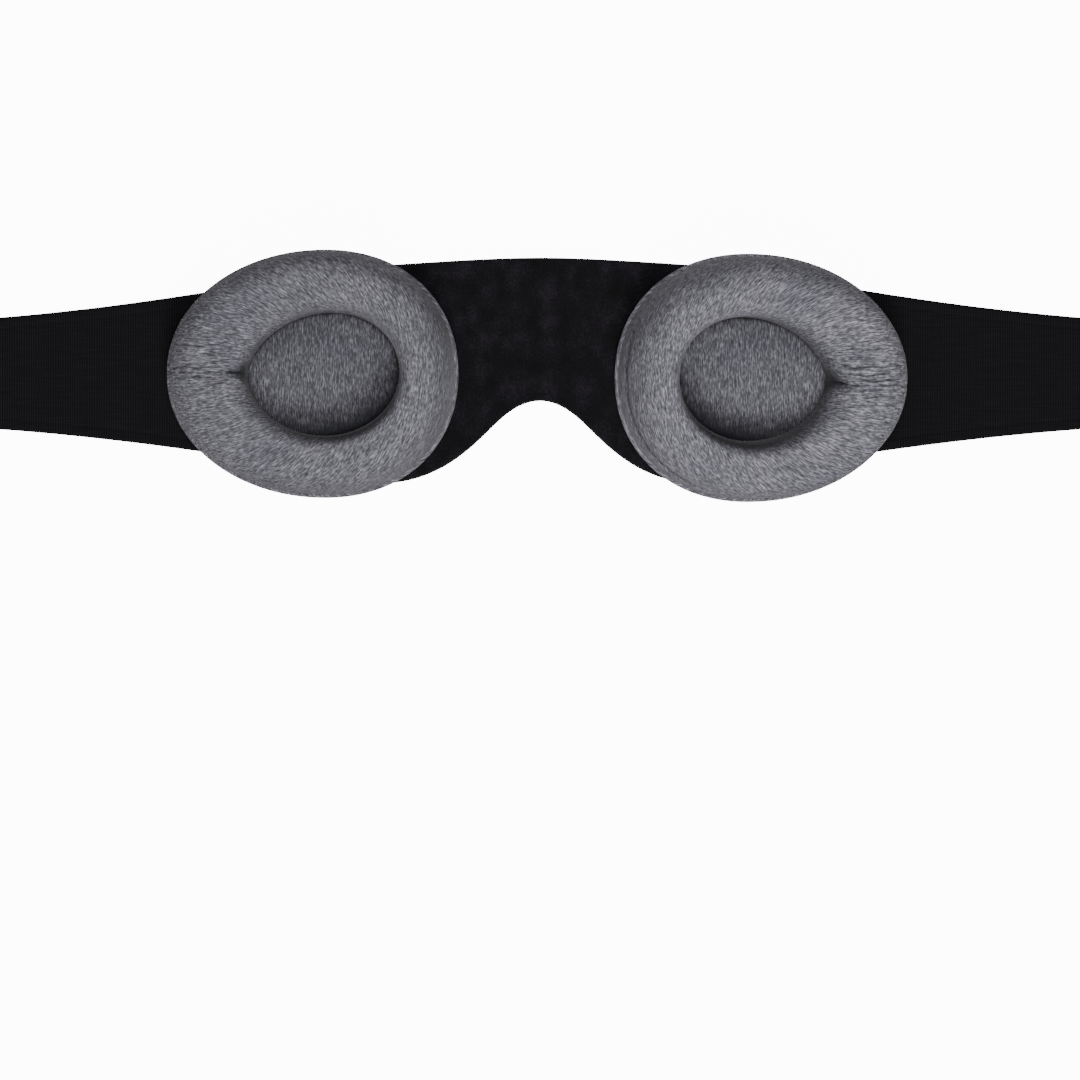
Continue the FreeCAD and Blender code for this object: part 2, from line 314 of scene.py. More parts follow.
# %% Outer fabric material
# A wave texture at scale 1 repeats every pi / 10 of a unit.
WAVE_UNIT = math.pi / 10
KNIT_COLUMN = 0.9
COLUMN_RELIEF = 0.15
YARN = (0.5, 2.0)
YARN_TONES = [(0.35, "0b0a0d"), (0.65, "18161b")]

outer_fabric, tree, shader = start_material(
    "warp_knit_polyester",
    Roughness=0.85,
    Specular_IOR_Level=0.15,
    Sheen_Weight=0.05,
    Sheen_Roughness=0.5,
)
cloth_plane = add(tree, "ShaderNodeUVMap", {}, uv_map="cloth")
columns = add(
    tree,
    "ShaderNodeTexWave",
    {"Vector": cloth_plane, "Scale": WAVE_UNIT / KNIT_COLUMN, "Distortion": 1.2, "Detail": 2.0},
    output=1,
    bands_direction="X",
)
yarn = threads(tree, *YARN)
yarn_tone = add(tree, "ShaderNodeValToRGB", {"Fac": yarn}, stops=YARN_TONES)
finish_surface(tree, shader, yarn_tone, columns, COLUMN_RELIEF)

# %% [markdown]
# ## Woven elastic
# The straps are flat elastic: rubber cores run along them, and fine ribs of polyester
# cross them about every 0.7 mm. It is the blackest piece, with a dull gloss on the ribs.

# %% Woven elastic material
RIB_PITCH = 0.7
RIB_RELIEF = 0.18
WARP = (9.0, 0.5)
WEAVE_TONES = [(0.1, "0a090b"), (0.4, "131115"), (0.7, "201c23")]

elastic, tree, shader = start_material(
    "woven_elastic_webbing",
    Roughness=0.8,
    Specular_IOR_Level=0.1,
    Sheen_Weight=0.03,
    Sheen_Roughness=0.5,
)
cloth_plane = add(tree, "ShaderNodeUVMap", {}, uv_map="cloth")
ribs = add(
    tree,
    "ShaderNodeTexWave",
    {"Vector": cloth_plane, "Scale": WAVE_UNIT / RIB_PITCH, "Distortion": 0.6, "Detail": 1.0},
    output=1,
    bands_direction="X",
)
warp = threads(tree, *WARP)
weave = add(tree, "ShaderNodeMath", {0: ribs, 1: warp}, operation="MULTIPLY")
weave_tone = add(tree, "ShaderNodeValToRGB", {"Fac": weave}, stops=WEAVE_TONES)
finish_surface(tree, shader, weave_tone, weave, RIB_RELIEF)

# %% [markdown]
# ## Small materials
# Polyester thread, folded binding tape, moulded nylon hooks, grey board and foam. Thread is
# twisted and foam has open cells, both about half a millimetre across, so both are grainy.
# All read object coordinates, since the CAD's own solids have no cloth coordinates.

# %% Thread, tape, hook, board and foam materials
def speckled(name, size, dark, light, relief, **even):
    """A material whose shade and height vary in grains of `size` mm."""
    material, tree, shader = start_material(name, **even)
    place = add(tree, "ShaderNodeTexCoord", {}, output=3)
    grain = add(
        tree, "ShaderNodeTexNoise", {"Vector": place, "Scale": 1 / (size * MM), "Detail": 3.0}
    )
    tone = add(tree, "ShaderNodeValToRGB", {"Fac": grain}, stops=[(0.35, dark), (0.65, light)])
    finish_surface(tree, shader, tone, grain, relief)
    return material


thread = speckled("spun_polyester_thread", 0.5, "1d1c20", "37353b", 0.05, Roughness=0.6)
tape = speckled("folded_binding_tape", 0.5, "100f12", "1f1d22", 0.08, Roughness=0.85)
hook_nylon = speckled("moulded_nylon_hook", 1.2, "131216", "1b1a1e", 0.02, Roughness=0.42)
board = speckled("pressed_fibre_board", 0.8, "2b2a2e", "3a393e", 0.05, Roughness=0.9)
foam = speckled("open_cell_pu_foam", 0.5, "4c4c52", "7a7a82", 0.2, Roughness=1.0)
print("materials:", len(bpy.data.materials))

# %% [markdown]
# ## One mesh builder
# Straps, panel, tapes and cups are all skins stretched over a row of cross-sections, like
# planks on a boat's frames. A section is a closed loop of points. The row of sections is
# either open, and then both ends are capped, or it closes into a ring, as a cup's does.


# %% Skin over cross-sections
def as_piece(name, mesh, material):
    """A piece made of a mesh, with its faces turned outwards and its material."""
    shape = bmesh.new()
    shape.from_mesh(mesh)
    bmesh.ops.recalc_face_normals(shape, faces=shape.faces)
    shape.to_mesh(mesh)
    shape.free()
    mesh.materials.append(material)
    return new_object(name, mesh)


def skin(name, sections, material, cloth=None, ring=False, sharp=40):
    """A closed mesh over sections (row, point, xyz in mm), with cloth coordinates in mm.

    cloth holds u and v for each row and point, with one point more than a section has,
    and for a ring one row more, so that the pattern can have a seam.
    """
    sections = np.asarray(sections, float)
    rows, points = sections.shape[:2]
    index = np.arange(rows * points).reshape(rows, points)
    spans = rows if ring else rows - 1
    faces, corners = [], []
    for i in range(spans):
        for j in range(points):
            k = (j + 1) % points
            i_next = (i + 1) % rows
            faces.append((index[i, j], index[i, k], index[i_next, k], index[i_next, j]))
            corners += [(i, j), (i, j + 1), (i + 1, j + 1), (i + 1, j)]
    if not ring:
        for i in (0, rows - 1):
            faces.append(tuple(index[i]))
            corners += [(i, j) for j in range(points)]
    mesh = bpy.data.meshes.new(name)
    mesh.from_pydata(sections.reshape(-1, 3) * MM, [], faces)
    if cloth is not None:
        i, j = np.array(corners).T
        mesh.uv_layers.new(name="cloth").data.foreach_set("uv", cloth[i, j].ravel())
    piece = as_piece(name, mesh, material)
    mesh.polygons.foreach_set("use_smooth", [True] * len(mesh.polygons))
    mesh.set_sharp_from_angle(angle=math.radians(sharp))
    return piece


def closed_loops(sections):
    """The sections with their first point once more at the end."""
    return np.concatenate([sections, sections[:, :1]], axis=1)


def wrapped_cloth(sections):
    """Cloth coordinates for a band along x: u along it and v round its section."""
    closed = closed_loops(sections)
    steps = np.linalg.norm(np.diff(closed, axis=1)[..., 1:], axis=2)
    round_it = np.concatenate([np.zeros((len(sections), 1)), np.cumsum(steps, axis=1)], axis=1)
    return np.stack([closed[..., 0], round_it - round_it[:, -1:] / 4], axis=2)


def settle(piece, body, slot, *nodes):
    """The piece rides on a body and stands for these CAD nodes, which are hidden. The slot is not
    used.
    """
    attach(piece, body)
    if nodes:
        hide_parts(*nodes)


# %% [markdown]
# ## Edge lines
# The band's outline comes from the CAD model: the corner points of a flat node lie on its
# edges, so sorting them by x gives the forehead edge and the cheek edge as two lines.


# %% Edge lines from the CAD nodes
def points_of(*nodes):
    """All corner points of some CAD nodes, in mm."""
    found = [[v.co[:] for v in frame["nodes"][node].data.vertices] for node in nodes]
    return np.concatenate(found) / MM


SAME_STATION = 0.006
FLAT_ON_FLOOR = 0.01


def edge_lines(points):
    """Two functions of x: the upper and lower edges of a flat outline."""
    lines = []
    for side in (1, -1):
        chosen = points[points[:, 1] * side > 0]
        stations = np.unique(chosen[:, 0].round(2))
        reach = [
            (chosen[np.abs(chosen[:, 0] - x) < SAME_STATION, 1] * side).max() * side
            for x in stations
        ]
        lines.append((stations, np.array(reach)))
    return [lambda x, line=line: np.interp(x, *line) for line in lines]


panel_points = points_of("outer_shell")
brow_edge, cheek_edge = edge_lines(panel_points[panel_points[:, 2] < FLAT_ON_FLOOR])
PANEL_HALF = panel_points[:, 0].max()
nose_height = brow_edge(0) - cheek_edge(0)
print("panel:", round(2 * PANEL_HALF, 1), "mm long,", round(nose_height, 1), "mm at the nose")

# %% [markdown]
# ## Front panel
# Two fabrics are laid face to face over a thin foam, stitched round the edge and turned, so
# each one wraps over the rim and meets the other half way down. A section across the
# panel is a shallow tray. The face fabric is the same tray upside down. The corner that
# shows is a roll, because padding under turned cloth never leaves a sharp edge.

# %% Front panel pieces
SHELL_T, CORE_TOP, PANEL_TOP = 0.8, 2.6, 3.8
RIM_Z = PANEL_TOP / 2
TURN_IN = 1.5
ROLL = 1.3
SEAM_GAP = 0.12
ROLL_SHARE = 0.9
END_SINK = 0.75
ACROSS = 40


def tray_section(x, low, high, z_out, z_floor, z_rim):
    """A tray across the panel: the outside with rolled corners, then the inside back."""
    roll_z = abs(z_rim - z_out) * ROLL_SHARE
    sign = 1 if z_rim > z_out else -1
    bend = np.linspace(0, math.pi / 2, 7)
    out_y = low + ROLL * (1 - np.sin(bend))
    out_z = z_out + sign * roll_z * (1 - np.cos(bend))
    rim = [(low + TURN_IN, z_rim), (low + 0.5, z_rim), (low, z_rim - sign * SEAM_GAP)]
    left = rim + list(zip(out_y[::-1], out_z[::-1]))
    flat = [(y, z_out) for y in np.linspace(low + ROLL, high - ROLL, ACROSS)[1:-1]]
    right = [(low + high - y, z) for y, z in left[::-1]]
    inside = [(y, z_floor) for y in np.linspace(high - TURN_IN, low + TURN_IN, 12)]
    return [(x, y, z) for y, z in left + flat + right + inside]


def panel_stations():
    """Stations along the panel, close together where its ends roll over."""
    roll = [PANEL_HALF - d for d in (0, 0.15, 0.4, 0.8, ROLL)]
    inner = np.linspace(0, PANEL_HALF - 2, 60)
    half = np.concatenate([inner, roll[::-1]])
    return np.concatenate([-half[:0:-1], half])


def panel_fabric(name, z_out, z_floor, material):
    """One fabric of the front panel. z_out is its visible side, z_floor its inside."""
    sections = []
    for x in panel_stations():
        drop = max(0.0, abs(x) - (PANEL_HALF - ROLL)) / ROLL
        sink = (1 - math.sqrt(max(0.0, 1 - drop * drop))) * END_SINK
        z_here = z_out + (RIM_Z - z_out) * sink
        z_in = z_floor + (RIM_Z - z_floor) * sink * ROLL_SHARE
        low, high = float(cheek_edge(x)), float(brow_edge(x))
        sections.append(tray_section(x, low, high, z_here, z_in, RIM_Z))
    sections = np.array(sections)
    return skin(name, sections, material, closed_loops(sections)[..., :2])


face_piece = panel_fabric("face_loop_fabric", PANEL_TOP, CORE_TOP, loop_fabric)
settle(face_piece, "panel", "loop_fabric", "face_loop_panel")
shell_piece = panel_fabric("outer_fabric_shell", 0.0, SHELL_T, outer_fabric)
settle(shell_piece, "panel", "outer_fabric", "outer_shell")

stations = panel_stations()
outline_area = np.trapz(brow_edge(stations) - cheek_edge(stations), stations)

# %% [markdown]
# ## Panel foam
# A 1.8 mm sheet of foam lies between the fabrics. It only shows if the mask is cut open,
# but it is there, with the same outline a little inside the turned edge.

# %% Panel foam
CORE_HALF = 83.0
EDGE_CLEAR, FACE_CLEAR = 0.1, 0.05
core_sections = []
for x in np.linspace(-CORE_HALF + EDGE_CLEAR, CORE_HALF - EDGE_CLEAR, 80):
    low = float(cheek_edge(x)) + TURN_IN + EDGE_CLEAR
    high = float(brow_edge(x)) - TURN_IN - EDGE_CLEAR
    top = [(x, y, CORE_TOP - FACE_CLEAR) for y in np.linspace(low, high, 12)]
    core_sections.append(top + [(x, y, SHELL_T + FACE_CLEAR) for _, y, _ in top[::-1]])
core_piece = skin("panel_foam", core_sections, foam)
settle(core_piece, "panel", "foam", "panel_foam_core")

# %% [markdown]
# ## Elastic straps
# Each strap is one woven band that flares out to the panel. The model bends it at six
# lines. So the band is cut half way between those lines, and each piece has one line in its
# middle. The first piece rides on the panel and the last on the end of the strap; the pieces
# between stay where they are made. Its section is flat with round edges, and a woven hem
# stands a little proud along both sides.

# %% Strap shape
STRAP_T = 1.8
HEM = 3.2
HEM_GROOVE = 0.22
BODY_DIP = 0.35  # between its hems the strap is thinner by this share of the groove
END_CAP, END_CAP_T = 7.0, 0.5
TIP_X = cad_box[1][0] / MM - END_CAP_T
hinge_lines = {
    side: sorted(
        abs(joint["pos_m"][0]) / MM
        for joint in frame["joints"]
        if joint["name"].startswith(f"{side}_strap")
    )
    for side in SIDES
}
patch_low, patch_high = [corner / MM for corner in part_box("right_loop_patch")]
PATCH_T = patch_high.z - patch_low.z
# The right strap climbs onto its loop patch between these two places.
RAMP = (patch_low.x - 12, patch_low.x - 4)
for side, lines in hinge_lines.items():
    print(side, "bend lines:", [round(x, 1) for x in lines], "mm")


def strap_levels(side, x):
    """Bottom and top of the strap at a distance x from the nose line."""
    rise = np.interp(x, RAMP, (0, 1))
    base = PATCH_T * rise * rise * (3 - 2 * rise) if side == "right" else 0.0
    tuck = END_CAP_T * np.interp(x, (TIP_X - END_CAP - 0.6, TIP_X - END_CAP), (0, 1))
    return base + tuck, base + STRAP_T


def strap_section(side, x, low, high):
    """The strap cut across at x: its top, one rounded edge, its underside, the other edge."""
    z_low, z_high = strap_levels(side, x)
    radius, middle = (z_high - z_low) / 2, (z_high + z_low) / 2
    hem_seam = HEM + np.array([-0.7, -0.25, 0, 0.25, 0.7, 2.5])
    hem = np.array([radius, 1.5, *hem_seam])
    dip = np.array([0, 0, 0, 0.6, 1, 0.7, BODY_DIP, BODY_DIP])
    body = np.linspace(low + 8, high - 8, 10)
    across = np.concatenate([low + hem, body, high - hem[::-1]])
    depth = np.concatenate([dip, np.full(len(body), BODY_DIP), dip[::-1]]) * HEM_GROOVE
    bend = np.linspace(0, math.pi, 9)[1:-1]
    out, up = radius * np.sin(bend), radius * np.cos(bend)
    top = zip(across, z_high - depth)
    high_edge = zip(high - radius + out, middle + up)
    bottom = zip(across[::-1], z_low + depth[::-1])
    low_edge = zip(low + radius - out, middle - up)
    return [*top, *high_edge, *bottom, *low_edge]


# %% [markdown]
# ### Cutting the straps
# A piece between two bend lines starts and ends half way between them. The first bend
# lies close to the eye cups, so the piece over it starts only a short way before it.

# %% Strap pieces
STATION_STEP = 1.5
BEFORE_FIRST, AFTER_LAST = 9, 14
BUTT_GAP = 0.05
strap_edges = {
    side: edge_lines(points_of(*[f"{side}_strap_length_{i}" for i in range(1, 8)]))
    for side in SIDES
}


def strap_piece(side, number, start, end):
    """One piece of strap from start to end, as distances from the nose line."""
    sign = SIDES[side]
    upper, lower = strap_edges[side]
    count = max(3, round((end - start) / STATION_STEP))
    sections = []
    for x in np.linspace(start, end, count + 1):
        low, high = float(lower(sign * x)), float(upper(sign * x))
        sections.append([(sign * x, y, z) for y, z in strap_section(side, x, low, high)])
    sections = np.array(sections)
    return skin(f"{side}_strap_webbing_{number}", sections, elastic, wrapped_cloth(sections))


for side, sign in SIDES.items():
    lines = hinge_lines[side]
    middles = [(a + b) / 2 for a, b in zip(lines, lines[1:])]
    cuts = [PANEL_HALF + BUTT_GAP, lines[0] - BEFORE_FIRST, *middles]
    cuts += [lines[-1] + AFTER_LAST, TIP_X - BUTT_GAP]
    root = strap_piece(side, 1, cuts[0], cuts[1])
    settle(root, "panel", "elastic", f"{side}_strap_length_1")
    for number, line in enumerate(lines, 2):
        piece = strap_piece(side, number, cuts[number - 1], cuts[number])
        inner = "panel" if number == 2 else f"{side}_strap_{number - 1}"
        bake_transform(piece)
        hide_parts(f"{side}_strap_length_{number}")
    tip = strap_piece(side, 8, cuts[-2], cuts[-1])
    settle(tip, f"{side}_strap_7", "elastic", f"{side}_strap_length_7")

# %% [markdown]
# ## Binding tape on the strap ends
# A cut end of elastic frays, so a thin tape is folded over it and sewn. In section it is a
# hairpin, with the strap in its slot. The section is swept from one strap edge to the other.

# %% End tapes
TIP_ROUNDNESS = 0.55
LIP = 0.1
TAPE_SEAM, SEAM_DIP = 2.5, 0.08
EDGE_PRESS = 0.12


def tape_section(side, shrink):
    """The hairpin in the xz plane: outside, round the tip, and back along the slot."""
    base, top = strap_levels(side, TIP_X - END_CAP - 1)
    top += END_CAP_T - shrink
    base += shrink
    open_x, reach = TIP_X - END_CAP, TIP_X + END_CAP_T
    middle, radius = (base + top) / 2, (top - base) / 2
    bend = np.linspace(math.pi / 2, -math.pi / 2, 9)
    nose_x = reach - radius * TIP_ROUNDNESS * (1 - np.cos(bend))
    nose = list(zip(nose_x, middle + radius * np.sin(bend)))
    slot_top, slot_low = top - END_CAP_T + shrink, base + END_CAP_T - shrink
    seam = open_x + TAPE_SEAM
    upper = [(open_x + LIP, top), (seam - 0.3, top), (seam, top - SEAM_DIP), (seam + 0.3, top)]
    lower = [(seam + 0.3, base), (seam, base + SEAM_DIP), (seam - 0.3, base)]
    low_lip = [(open_x + LIP, base), (open_x - LIP, (base + slot_low) / 2), (open_x, slot_low)]
    slot = [(TIP_X, slot_low), (TIP_X, slot_top)]
    top_lip = [(open_x, slot_top), (open_x - LIP, (top + slot_top) / 2)]
    return upper + nose + lower + low_lip + slot + top_lip


for side, sign in SIDES.items():
    upper, lower = strap_edges[side]
    low, high = float(lower(sign * TIP_X)), float(upper(sign * TIP_X))
    width = high - low
    spread = [0, 0.25, 0.8, *np.linspace(2, width - 2, 24), width - 0.8, width - 0.25, width]
    sections = []
    for step in spread:
        shrink = EDGE_PRESS if step in (0, width) else 0.0
        sections.append([(sign * x, low + step, z) for x, z in tape_section(side, shrink)])
    sections = np.array(sections)
    end_tape = skin(f"{side}_end_tape", sections, tape, closed_loops(sections)[..., :2])
    settle(end_tape, f"{side}_strap_7", "tape", f"{side}_strap_end_cap")
    print(side, "end tape:", round(width, 1), "mm wide")

# %% [markdown]
# ## Rounded plates
# The loop patch, the hook tab and the hooks' base plates are flat plates with rounded
# corners. Each is built from rings: a rounded rectangle is drawn smaller or larger and
# higher or lower, and the skin runs from ring to ring.


# %% Rings for rounded plates
SMALLEST_CORNER = 0.4


def rounded_ring(low, high, corner, inset, z):
    """A rounded rectangle between two corners, moved in by inset, at height z."""
    radius = max(corner - inset, SMALLEST_CORNER)
    ring = []
    for quarter, (sx, sy) in enumerate([(1, 1), (-1, 1), (-1, -1), (1, -1)]):
        centre_x = high.x - inset - radius if sx > 0 else low.x + inset + radius
        centre_y = high.y - inset - radius if sy > 0 else low.y + inset + radius
        for turn in np.linspace(0, math.pi / 2, 8):
            angle = quarter * math.pi / 2 + turn
            x, y = centre_x + radius * math.cos(angle), centre_y + radius * math.sin(angle)
            ring.append((x, y, z))
    return ring


def plate(name, low, high, corner, steps, material):
    """A plate whose surface goes through steps of (inset, height)."""
    sections = np.array([rounded_ring(low, high, corner, inset, z) for inset, z in steps])
    return skin(name, sections, material, closed_loops(sections)[..., :2], sharp=50)


# %% [markdown]
# ## Loop patch and hook tab
# The straps close with hook and loop: a fuzzy patch under the right tip and a tab of tiny
# hooks on the left one. Real hooks are too fine to show, about 0.3 mm across every 1.4 mm,
# so these are a little coarser. Each is a bent peg, and one mesh holds the whole field.

# %% Loop patch
CORNER = 4.0
patch_steps = [
    (0.6, patch_low.z),
    (0.0, patch_low.z + 0.35),
    (0.0, patch_high.z - 0.3),
    (0.3, patch_high.z),
]
loop_piece = plate("right_closing_loops", patch_low, patch_high, CORNER, patch_steps, loop_fabric)
settle(loop_piece, "right_strap_7", "loop_fabric", "right_loop_patch")
print("loop patch:", [round(v, 1) for v in patch_high - patch_low], "mm")

# %% Hook tab
HOOK_PITCH = 1.5
HOOK_HEIGHT = 0.75
HOOK_RADIUS = 0.17
HOOK_SIDES = 5
# A hook's middle line: how far it leans over and how high it stands, as shares of its height.
HOOK_PATH = [(0, 0), (0, 0.45), (0.108, 0.8), (0.378, 1.0), (0.675, 0.82)]


def hook_field(name, feet, z_foot):
    """Bent pegs standing on feet (x, y), as one mesh."""
    vertices, faces = [], []
    for x, y in feet:
        first = len(vertices)
        for i, (lean, climb) in enumerate(HOOK_PATH):
            thick = HOOK_RADIUS * (1.25 - 0.12 * i)
            for k in range(HOOK_SIDES):
                angle = 2 * math.pi * k / HOOK_SIDES
                px = x + lean * HOOK_HEIGHT + thick * math.cos(angle)
                pz = z_foot + climb * (HOOK_HEIGHT - HOOK_RADIUS)
                vertices.append((px * MM, (y + thick * math.sin(angle)) * MM, pz * MM))
        for i in range(len(HOOK_PATH) - 1):
            for k in range(HOOK_SIDES):
                a = first + HOOK_SIDES * i + k
                b = first + HOOK_SIDES * i + (k + 1) % HOOK_SIDES
                faces.append((a, b, b + HOOK_SIDES, a + HOOK_SIDES))
        faces.append(tuple(range(first, first + HOOK_SIDES))[::-1])
        faces.append(tuple(range(len(vertices) - HOOK_SIDES, len(vertices))))
    mesh = bpy.data.meshes.new(name)
    mesh.from_pydata(vertices, [], faces)
    return as_piece(name, mesh, hook_nylon)


low, high = [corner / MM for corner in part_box("left_hook_tab")]
BORDER, FOOT_SUNK = 3.0, 0.05
field_z = high.z - HOOK_HEIGHT
tab_steps = [
    (0.0, low.z),
    (0.0, high.z - 0.2),
    (0.25, high.z),
    (BORDER, high.z),
    (BORDER + 0.3, field_z),
]
tab_piece = plate("left_closing_hook_plate", low, high, CORNER, tab_steps, hook_nylon)
settle(tab_piece, "left_strap_7", "hook_plastic", "left_hook_tab")
feet = [
    (x, y)
    for x in np.arange(low.x + BORDER + 1.0, high.x - BORDER - 1.2, HOOK_PITCH)
    for y in np.arange(low.y + BORDER + 1.0, high.y - BORDER - 0.8, HOOK_PITCH)
]
hooks_piece = hook_field("left_closing_hooks", feet, field_z - FOOT_SUNK)
settle(hooks_piece, "left_strap_7", "hook_plastic")
print("closing hooks:", len(feet))

# %% [markdown]
# ## Thread, board and hook pads that stay from the CAD
# Rows of stitches, the stiff boards in the cups and the hook pads under them already have
# the right shape in the CAD model. They only need their materials.

# %% Materials on CAD nodes
CAD_FINISH = {"stitches": thread, "backing_board": board, "hook_pad": hook_nylon}
for node_name, node in frame["nodes"].items():
    for ending, material in CAD_FINISH.items():
        if node_name.endswith(ending):
            for material_slot in node.material_slots:
                material_slot.material = material
print("CAD nodes kept:", sum(n.endswith(tuple(CAD_FINISH)) for n in frame["nodes"]))

# %% [markdown]
# ## The shape of an eye cup
# A cup is a moulded foam ring with a fabric skin: an egg-shaped foot, a broad soft crown
# and an oval hollow for the eye. The hollow comes to a small V at the temple, where the
# skin is gathered and sewn. A point on the skin is found from two angles: `turn` goes
# round the cup from the temple, and `climb` goes from the foot over the crown and down.
# The right crown leans to the temple, so more of its nose wall shows.

# %% Cup shape
CUP_LENGTH, CUP_HEIGHT = 42.0, 35.7
CUP_SQUARENESS, CUP_EGG = 2.1, 0.07
HOLLOW_X, HOLLOW_LENGTH, HOLLOW_HEIGHT = -3.5, 22.0, 18.6
CREST_Z, CREST_SLOPE, CREST_SHARE = 22.5, 0.075, 0.58
OUTER_SQUARENESS, INNER_SQUARENESS = 2.35, 3.1
FOOT_Z, HOLLOW_Z = 6.8, 8.2
WELT_PROUD = 1.0
LEAN = {"right": (3.6, -0.7), "left": (0.9, 0.7)}
TIP_SHARPNESS = (0.22, 0.06)
SKIN_T = 0.9


def cup_point(side, turn, climb):
    """Points of the skin in the cup's own frame: +x to the temple, y up, z from the table."""
    c, s = np.cos(turn), np.sin(turn)
    power = 2 / CUP_SQUARENESS
    foot_x = CUP_LENGTH * np.sign(c) * np.abs(c) ** power
    foot_y = CUP_HEIGHT * np.sign(s) * np.abs(s) ** power * (1 - CUP_EGG * foot_x / CUP_LENGTH)
    half = np.abs(np.sin(turn / 2)) + 1e-6
    sharp = np.where(s > 0, half ** TIP_SHARPNESS[0], half ** TIP_SHARPNESS[1])
    hollow_x = HOLLOW_X + HOLLOW_LENGTH * c
    hollow_y = HOLLOW_HEIGHT * s * sharp
    k, m = np.cos(climb), np.sin(climb)
    outer = k > 0
    squareness = np.where(outer, OUTER_SQUARENESS, INNER_SQUARENESS)
    z_low = np.where(outer, FOOT_Z, HOLLOW_Z)
    width = np.where(outer, CREST_SHARE, 1 - CREST_SHARE)
    reach = (np.abs(k) ** squareness + np.abs(m) ** squareness) ** (-1 / squareness)
    share = CREST_SHARE - width * reach * k
    rise = reach * m
    x = foot_x + share * (hollow_x - foot_x) - WELT_PROUD * (1 - share) * c
    y = foot_y + share * (hollow_y - foot_y) - WELT_PROUD * (1 - share) * s
    z = z_low + rise * (CREST_Z - CREST_SLOPE * x - z_low)
    return np.stack([x + rise * LEAN[side][0], y + rise * LEAN[side][1], z], axis=-1)


def normals_of(grid):
    """Unit normals of a grid of points, closed along its first axis: out of a cup's foam."""
    along = np.roll(grid, -1, axis=0) - np.roll(grid, 1, axis=0)
    across = np.gradient(grid, axis=1)
    normal = np.cross(along, across)
    return normal / np.linalg.norm(normal, axis=2, keepdims=True)


# %% [markdown]
# ## Letting the skin settle by cloth simulation
# The fabric is glued at the foot and at the floor of the hollow and is free over the foam
# between them, where the foam presses it out. So a coarse copy of the skin is pinned at
# those two rims, a gentle pressure stands for the foam, and 20 steps of Blender's cloth
# let it find its own roundness. No point may move more than a small cap. The moves are
# read back and spread smoothly over the fine mesh, so no Cloth is left on the piece.

# %% Cloth simulation
CLOTH_FRAMES = 20
FOAM_PRESSURE = 4.0


def cloth_moves(grid, cap, rims=(0, -1)):
    """How far each point of a grid (mm), closed around, moves as pressed cloth."""
    rows, points = grid.shape[:2]
    index = np.arange(rows * points).reshape(rows, points)
    after = np.roll(index, -1, axis=0)
    faces = [
        (index[i, j], index[i, j + 1], after[i, j + 1], after[i, j])
        for i in range(rows)
        for j in range(points - 1)
    ]
    mesh = bpy.data.meshes.new("cloth_copy")
    mesh.from_pydata(grid.reshape(-1, 3) * MM, [], faces)
    copy = new_object("cloth_copy", mesh)
    pinned = [int(v) for rim in rims for v in index[:, rim]]
    copy.vertex_groups.new(name="pinned").add(pinned, 1.0, "REPLACE")
    cloth = copy.modifiers.new("cloth", "CLOTH")
    cloth.settings.vertex_group_mass = "pinned"
    cloth.settings.use_pressure = True
    cloth.settings.uniform_pressure_force = FOAM_PRESSURE
    cloth.settings.effector_weights.gravity = 0
    cloth.point_cache.frame_end = CLOTH_FRAMES
    for moment in range(1, CLOTH_FRAMES + 1):
        bpy.context.scene.frame_set(moment)
    settled = copy.evaluated_get(bpy.context.evaluated_depsgraph_get()).data
    place = np.empty(rows * points * 3)
    settled.vertices.foreach_get("co", place)
    moves = place.reshape(grid.shape) / MM - grid
    bpy.context.scene.frame_set(1)
    bpy.data.objects.remove(copy)
    length = np.linalg.norm(moves, axis=2, keepdims=True) + 1e-9
    print("cloth moved by up to", round(float(length.max()), 2), "mm, capped at", cap)
    return moves * np.minimum(1, cap / length)


def between(values, places, closed):
    """Values along the first axis read at fractional places, on smooth curves."""
    count = len(values)
    base = np.floor(places).astype(int)
    t = (places - base).reshape(-1, *[1] * (values.ndim - 1))
    near = [base + k for k in (-1, 0, 1, 2)]
    a, b, c, d = [values[k % count if closed else np.clip(k, 0, count - 1)] for k in near]
    return b + 0.5 * t * (c - a + t * (2 * a - 5 * b + 4 * c - d + t * (3 * (b - c) + d - a)))


# %% [markdown]
# ## Gathers and creases
# At the temple the knit is drawn together and sewn in a short line from the tip of the
# hollow to the foot. Fine broken pleats run beside it. The right cup has one more crease, a
# long arc low on its nose wall, where the leaning crown bends the foam. Each is a narrow
# groove in the mesh. A painted shade for each is worked out beside it, in the same
# millimetres, wider at the tip of the hollow and stronger in the pleats.

# %% Creases
SEAM_Y = {"right": -2.6, "left": 0.0}
SEAM_DEPTH, SEAM_WIDTH = 0.55, 0.36
VALLEY_DEPTH, VALLEY_WIDTH = 0.9, 1.7
VALLEY_SHADE, VALLEY_SHADE_WIDTH = 0.62, 2.8
# Each pleat: its distance from the seam and its depth.
PLEATS = ((1.3, 0.34), (-1.5, 0.3), (2.9, 0.26), (5.0, 0.34))
PLEATS += ((-3.4, 0.24), (7.6, 0.28), (-6.0, 0.18), (10.2, 0.2))
PLEAT_WIDTH, PLEAT_SHADE = 0.3, 0.9
# Where these begin and end, in mm of x from the middle of the cup. A pleat's are drawn.
SEAM_START, SEAM_SLANT = (16.5, 19), (15, 26)
VALLEY_START, VALLEY_END = (14, 18), (32, 19)
VALLEY_SHADE_START, VALLEY_SHADE_END = (12, 17), (30, 17)
PLEAT_START, PLEAT_LENGTH = (21, 29), (6, 14)
# The arc begins and ends at these angles from the nose, in degrees, and at this climb.
ARC_DEPTH, ARC_WIDTH = 0.6, 0.055
ARC_START, ARC_END, ARC_CLIMB = (-35, -5), (75, 45), 0.42
NOSE_PULL = 0.55


